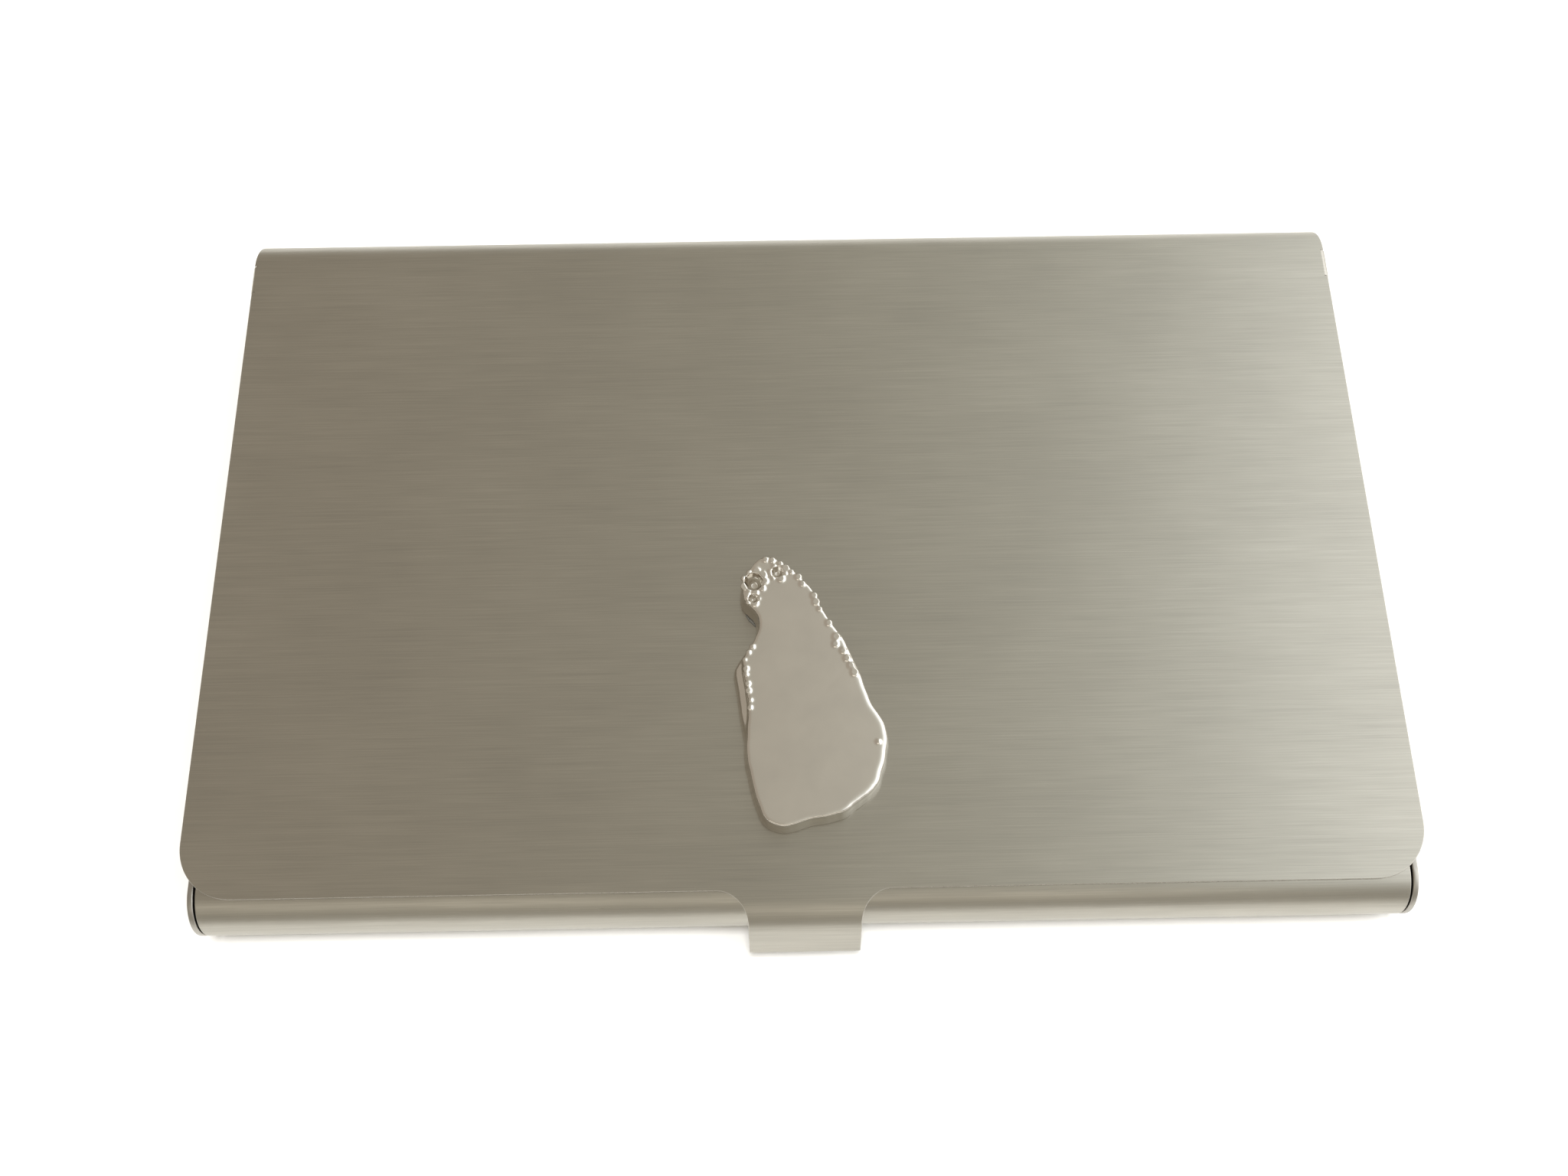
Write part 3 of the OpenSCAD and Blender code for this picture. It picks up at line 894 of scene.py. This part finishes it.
washers = spun("hinge_washers", washer_profile(), HINGE_AXIS, ROUND_STEPS)
run_tree(washers, hinge_pair, {
    "Hinge depth": hinge.y, "Hinge height": hinge.z, "Seed": 8, "Material": washer_finish})
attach(washers, "base")
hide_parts("left_hinge_washer", "right_hinge_washer")
print("washers:", len(washers.data.polygons), "faces")

# %% [markdown]
# ## Spot welds
# Each foot is joined to the floor by a row of spot welds. A weld leaves a shallow round dish with a raised
# lip where the electrode pressed, and a straw-coloured heat tint round it. They repeat along a line, so one
# dish is instanced in two rows, each turned at random, since no two welds come out the same way round.

# %% Spot weld finish and rows
WELD_COUNT = 7
WELD_RADIUS = 0.75 * MM
WELD_LIP = 0.05 * MM
# The dish from its middle outwards and back underneath: (share of its radius, share of its lip).
WELD_PROFILE = [(0, 0.2), (0.45, 0.25), (0.7, 0.55), (0.85, 1), (0.95, 0.7), (1, 0), (1, -0.4), (0, -0.4)]
WELD_STEPS = 24
WELD_END_MARGIN = 5 * MM


def weld_metal():
    """Weld dish in stainless: frosted middle, straw to grey heat tint in patches."""
    material, tree = new_material("heat_tinted_spot_weld")
    place = add(tree, "ShaderNodeTexCoord").outputs["Object"]
    tint = add(tree, "ShaderNodeTexNoise", {"Vector": place, "Scale": 900.0, "Detail": 2.0})
    frost = add(tree, "ShaderNodeTexNoise", {"Vector": place, "Scale": 6000.0, "Detail": 3.0})
    relief = add(tree, "ShaderNodeBump", {"Height": frost, "Strength": 0.4, "Distance": 0.01 * MM})
    stops = [(0.35, "#8F8C86"), (0.55, "#A99A78"), (0.7, "#B5B0A4")]
    close_metal(tree, tint, stops, frost, 0.5, 0.36, relief)
    return material


def weld_rows_tree():
    """Geometry Nodes tree that lays the weld in a row on each foot."""
    tree, given = new_tree("weld_rows", {
        "Count": "Int", "Half spacing": "Float", "Front": "Float", "Pitch": "Float", "Height": "Float",
        "Seed": "Int", "Material": "Material"})
    step = add(tree, "ShaderNodeCombineXYZ", {"Y": given["Pitch"]})
    both = add(tree, "GeometryNodeJoinGeometry")
    for side in (1.0, -1.0):
        across = add(tree, "ShaderNodeMath", {0: given["Half spacing"], 1: side}, operation="MULTIPLY")
        start = add(tree, "ShaderNodeCombineXYZ", {
            "X": across, "Y": given["Front"], "Z": given["Height"]})
        row = add(tree, "GeometryNodeMeshLine", {
            "Count": given["Count"], "Start Location": start, "Offset": step})
        tree.links.new(row.outputs["Mesh"], both.inputs[0])
    turn = add(tree, "FunctionNodeRandomValue", {
        2: 0.0, 3: 2 * math.pi, "Seed": given["Seed"]}, data_type="FLOAT").outputs[1]
    size = add(tree, "FunctionNodeRandomValue", {
        2: 0.88, 3: 1.08, "Seed": given["Seed"]}, data_type="FLOAT").outputs[1]
    about = add(tree, "ShaderNodeCombineXYZ", {"Z": turn})
    placed = add(tree, "GeometryNodeInstanceOnPoints", {
        "Points": both, "Instance": given["Geometry"], "Rotation": about, "Scale": size})
    return close_tree(tree, placed, given["Material"])


foot_top = 2 * SHEET
weld_front = roll_axis + WELD_END_MARGIN
weld_rear = base_high.y - WELD_END_MARGIN
dish = [(level * WELD_LIP, share * WELD_RADIUS) for share, level in WELD_PROFILE]
welds = spun("spot_welds", dish, Vector((0, 0, 1)), WELD_STEPS)
run_tree(welds, weld_rows_tree(), {
    "Count": WELD_COUNT, "Half spacing": (foot_inside + plate_inside) / 2, "Front": weld_front,
    "Pitch": (weld_rear - weld_front) / (WELD_COUNT - 1), "Height": foot_top, "Seed": 5,
    "Material": weld_metal()})
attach(welds, "base")
print("spot welds:", 2 * WELD_COUNT, "dishes,", len(welds.data.polygons), "faces")

# %% [markdown]
# ## The cast charm
# The ornament is a small zinc casting that was polished and then plated in a silver colour. Its face is flat,
# its wall is slightly wavy as a die-cast wall is after polishing, and strings of tiny beads decorate the rim.
# At the narrow end the beads also ring three small pits. The outline comes from the exact model. The
# sculpture is made in millimetres about the charm's middle: rings of points build the body, wire paths say
# where beads go, Geometry Nodes lays the beads, and a voxel remesh melts everything into one skin, as molten
# metal would.

# %% Charm outline and wall
charm_low, charm_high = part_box("charm")
charm_middle = Vector(((charm_low.x + charm_high.x) / 2, (charm_low.y + charm_high.y) / 2, charm_low.z))
BEAD_RISE = 0.10
face_height = (charm_high.z - charm_low.z) / MM - BEAD_RISE
RIM_RADIUS = 0.16
WIDE_RIM = 0.30
DRAFT = 0.28
LEDGE = 0.55
FLUTE = 0.10


def charm_outline():
    """The exact charm's outline in mm about its middle, divided three times as finely."""
    solid = merged_copy("charm", "charm_outline")
    face = max(solid.data.polygons, key=lambda side: side.area * side.normal.z)
    loop = [(solid.data.vertices[index].co - charm_middle) / MM for index in face.vertices]
    bpy.data.objects.remove(solid)
    thirds = zip(loop, loop[1:] + loop[:1])
    return [here.lerp(there, share / 3).to_2d() for here, there in thirds for share in range(3)]


def eased(low, high, value):
    """Rises smoothly from 0 at low to 1 at high."""
    share = min(max((value - low) / (high - low), 0.0), 1.0)
    return share * share * (3 - 2 * share)


def ledge_at(place):
    """How much of the ledge below the beads there is on the left of the charm, from 0 to 1."""
    if place.x > 0:
        return 0.0
    return eased(-4.4, -1.2, place.y) * (1 - eased(1.4, 3.3, place.y))


outline = charm_outline()
inward = []
for before, after in zip([outline[-1]] + outline[:-1], outline[1:] + outline[:1]):
    along = (after - before).normalized()
    inward.append(Vector((-along.y, along.x)))
flutes = [FLUTE * (0.6 + noise.noise((0.9 * place.x, 0.9 * place.y, 4.0))) for place in outline]


def ring(height, inset, ledge_share, rim_share=0.0):
    """The outline at that height, moved inwards by inset, its flutes and shares of the ledge and wide rim."""
    moves = [inset + flute + LEDGE * ledge_share * ledge_at(place)
             + WIDE_RIM * rim_share * eased(1.0, 4.5, place.x) for place, flute in zip(outline, flutes)]
    return [(place + move * side).to_3d() + Vector((0, 0, height))
            for place, side, move in zip(outline, inward, moves)]


# Rings of the wall from the foot up: (height, inset, share of the ledge) and, at the rim, its widening.
wall = [(0.0, 0.12, 0.0), (0.12, 0.02, 0.0), (0.3, 0.0, 0.0), (1.2, 0.13, 0.0), (1.45, 0.18, 0.15),
        (1.6, 0.22, 0.5), (1.7, 0.24, 0.85)]
for step in range(7):
    rise, turn_in = math.sin(math.radians(15 * step)), 1 - math.cos(math.radians(15 * step))
    wall.append((face_height - RIM_RADIUS * (1 - rise), DRAFT + RIM_RADIUS * turn_in, 1.0, turn_in))
print("charm:", len(outline), "points round,", len(wall), "rings, face at", round(face_height, 2), "mm")

# %% Charm body, bead paths and pits
BEAD_PATH_INSET = 0.46
BEAD_SINK = 0.06
PIT_RING = 1.35
# Pits as (x, y, radius, depth) and beads apart from the strings as (x, y, radius), in mm.
PITS = [(-4.25, 8.5, 0.66, 1.2), (-2.4, 9.25, 0.42, 0.5), (-4.3, 7.1, 0.36, 0.5)]
LONE_BEADS = [(2.0, 3.3, 0.27), (3.3, 1.3, 0.22), (0.5, 7.3, 0.22), (5.0, -4.4, 0.2)]


def beaded(place):
    """True where a string of beads runs along the rim."""
    if place.x < -3.5:
        return -1.9 < place.y < 3.4
    return place.x < 4.7 and place.y > -0.9


def loft(shape, rings):
    """Closes a stack of rings, listed from the bottom up, with walls and two flat ends."""
    layers = [[shape.verts.new(place) for place in ring_places] for ring_places in rings]
    for lower, upper in zip(layers, layers[1:]):
        for index, corner in enumerate(lower):
            shape.faces.new((lower[index - 1], corner, upper[index], upper[index - 1]))
    shape.faces.new(list(reversed(layers[0])))
    shape.faces.new(layers[-1])


def bead_paths(shape):
    """Adds wire edges where beads go: along parts of the rim and round the pits."""
    level = face_height - BEAD_SINK
    path = ring(level, BEAD_PATH_INSET, 1.0, 0.8)
    for index, place in enumerate(path):
        if beaded(place) and beaded(path[index - 1]):
            shape.edges.new((shape.verts.new(path[index - 1]), shape.verts.new(place)))
    for x, y, radius, _ in PITS:
        around = arc((x, y), PIT_RING * radius, 0, 330, 11)
        loop = [shape.verts.new((*place, level)) for place in around]
        for index, point in enumerate(loop):
            shape.edges.new((loop[index - 1], point))
    bmesh.ops.remove_doubles(shape, verts=[v for v in shape.verts if not v.link_faces], dist=0.01)
    for x, y, radius in LONE_BEADS:
        spot = Matrix.Translation((x, y, level))
        bmesh.ops.create_icosphere(shape, subdivisions=3, radius=radius, matrix=spot)


shape = bmesh.new()
loft(shape, [ring(*step) for step in wall])
bead_paths(shape)
charm = made_from("charm_casting", shape)
print("charm before melting:", len(charm.data.polygons), "faces")

# %% Beads and melting
BEAD_SPACING = 0.62
BEAD_RADIUS = 0.34
BEAD_JITTER = 0.08
GAP_CHANCE = 0.55
VOXEL = 0.08


def beading_tree():
    """Geometry Nodes tree that turns wire paths into strings of uneven beads and keeps the body."""
    tree, given = new_tree("beading", {"Spacing": "Float", "Radius": "Float", "Jitter": "Float",
                                       "Gap chance": "Float", "Seed": "Int", "Material": "Material"})
    count = add(tree, "GeometryNodeInputMeshEdgeNeighbors")
    wire = add(tree, "FunctionNodeCompare", {
        2: count, 3: 0}, data_type="INT", operation="EQUAL")
    path = add(tree, "GeometryNodeMeshToCurve", {"Mesh": given["Geometry"], "Selection": wire})
    steps = add(tree, "GeometryNodeCurveToPoints", {
        "Curve": path, "Length": given["Spacing"]}, mode="LENGTH")
    less = add(tree, "ShaderNodeMath", {0: given["Jitter"], 1: -1.0}, operation="MULTIPLY")
    low = add(tree, "ShaderNodeCombineXYZ", {"X": less, "Y": less, "Z": less})
    high = add(tree, "ShaderNodeCombineXYZ", {"X": given["Jitter"], "Y": given["Jitter"]})
    shift = add(tree, "FunctionNodeRandomValue", {
        0: low, 1: high, "Seed": given["Seed"]}, data_type="FLOAT_VECTOR")
    spread = add(tree, "GeometryNodeSetPosition", {"Geometry": steps.outputs["Points"], "Offset": shift})
    place = add(tree, "GeometryNodeInputPosition")
    across = add(tree, "ShaderNodeSeparateXYZ", {0: place}).outputs["X"]
    on_right = add(tree, "FunctionNodeCompare", {
        0: across, 1: 0.0}, data_type="FLOAT", operation="GREATER_THAN")
    gaps = add(tree, "ShaderNodeMath", {0: on_right, 1: given["Gap chance"]}, operation="MULTIPLY")
    gap_seed = add(tree, "ShaderNodeMath", {0: given["Seed"], 1: 5.0}, operation="ADD")
    luck = add(tree, "FunctionNodeRandomValue", {
        2: 0.0, 3: 1.0, "Seed": gap_seed}, data_type="FLOAT").outputs[1]
    kept = add(tree, "FunctionNodeCompare", {
        0: luck, 1: gaps}, data_type="FLOAT", operation="GREATER_THAN")
    growth = add(tree, "FunctionNodeRandomValue", {
        2: 0.6, 3: 1.0, "Seed": given["Seed"]}, data_type="FLOAT").outputs[1]
    size = add(tree, "ShaderNodeMath", {0: growth, 1: given["Radius"]}, operation="MULTIPLY")
    bead = add(tree, "GeometryNodeMeshIcoSphere", {"Radius": 1.0, "Subdivisions": 3}).outputs["Mesh"]
    beads = add(tree, "GeometryNodeInstanceOnPoints", {
        "Points": spread, "Selection": kept, "Instance": bead, "Scale": size})
    body = add(tree, "GeometryNodeDeleteGeometry", {
        "Geometry": given["Geometry"], "Selection": wire}, domain="EDGE")
    both = add(tree, "GeometryNodeJoinGeometry")
    tree.links.new(body.outputs[0], both.inputs[0])
    tree.links.new(beads.outputs[0], both.inputs[0])
    return close_tree(tree, both, given["Material"])


def silver_plate():
    """Polished zinc under thin bright plating: near mirror, with hair-fine marks and faint waves."""
    material, tree = new_material("polished_silver_plating")
    place = add(tree, "ShaderNodeTexCoord").outputs["Object"]
    marks = add(tree, "ShaderNodeTexNoise", {"Vector": place, "Scale": 9000.0, "Detail": 4.0})
    waves = add(tree, "ShaderNodeTexNoise", {"Vector": place, "Scale": 420.0, "Detail": 2.0})
    fine = add(tree, "ShaderNodeBump", {"Height": marks, "Strength": 0.12, "Distance": 0.005 * MM})
    relief = add(tree, "ShaderNodeBump", {
        "Height": waves, "Strength": 0.10, "Distance": 0.02 * MM, "Normal": fine})
    close_metal(tree, waves, [(0.3, "#D6D2CB"), (0.7, "#DDD9D2")], waves, 0.17, 0.11, relief)
    return material


plating = silver_plate()
run_tree(charm, beading_tree(), {"Spacing": BEAD_SPACING, "Radius": BEAD_RADIUS, "Jitter": BEAD_JITTER,
                                 "Gap chance": GAP_CHANCE, "Seed": 11, "Material": plating})
melt = charm.modifiers.new("melt", "REMESH")
melt.mode = "VOXEL"
melt.voxel_size = VOXEL
melt.use_smooth_shade = True
flow = charm.modifiers.new("flow", "SMOOTH")
flow.factor = 0.5
flow.iterations = 2
keep_result(charm)
print("charm skin:", len(charm.data.vertices), "points")

# %% Pits, plating and final place
for point in charm.data.vertices:
    x, y, z = point.co
    if z > 0.5 * face_height:
        for pit_x, pit_y, radius, depth in PITS:
            away = math.hypot(x - pit_x, y - pit_y)
            point.co.z -= depth * (1 - eased(0.35 * radius, 1.25 * radius, away))
lean = charm.modifiers.new("lean", "DECIMATE")
lean.ratio = 0.4
keep_result(charm)
charm.data.materials.clear()
charm.data.materials.append(plating)
for point in charm.data.vertices:
    raised = charm_middle + point.co * MM
    point.co = [min(max(value, low), high) for value, low, high in zip(raised, charm_low, charm_high)]
for face in charm.data.polygons:
    face.use_smooth = True
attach(charm, "lid")
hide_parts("charm")
print("charm:", len(charm.data.polygons), "faces")

# %% [markdown]
# ## The adhesive
# A thin film of double-sided tape holds the charm. It is cut a little smaller than the charm, so all that
# shows from the side is a fine dark line. Foam tape squeezed flat bulges a little at its edge.

# %% Adhesive film
glue_low, glue_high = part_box("charm_adhesive")
GLUE_ROUNDING = 0.03 * MM


def acrylic_foam():
    """Grey acrylic foam tape: soft, slightly glossy skin with tiny closed cells."""
    material, tree = new_material("grey_acrylic_foam_tape")
    place = add(tree, "ShaderNodeTexCoord").outputs["Object"]
    cells = add(tree, "ShaderNodeTexVoronoi", {"Vector": place, "Scale": 9000.0}).outputs["Distance"]
    stops = [(0.2, "#55544F"), (0.8, "#716F69")]
    colour = add(tree, "ShaderNodeValToRGB", {"Fac": cells}, stops=stops)
    relief = add(tree, "ShaderNodeBump", {"Height": cells, "Strength": 0.3, "Distance": 0.01 * MM})
    shader = add(tree, "ShaderNodeBsdfPrincipled", {
        "Base Color": colour, "Roughness": 0.45, "Normal": relief})
    close_material(tree, shader)
    return material


tape = merged_copy("charm_adhesive", "adhesive_tape")
tape.data.materials.clear()
tape.data.materials.append(acrylic_foam())
deburr(tape, GLUE_ROUNDING, 2)
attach(tape, "lid")
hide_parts("charm_adhesive")
print("adhesive:", len(tape.data.polygons), "faces,", round((glue_high.z - glue_low.z) / MM, 2), "mm thick")

# %% Sizes of the finished model beside the exact one
show_low, show_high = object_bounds()
difference = (show_high - show_low) - (cad_high - cad_low)
print("size difference, mm:", [round(side / MM, 3) for side in difference])
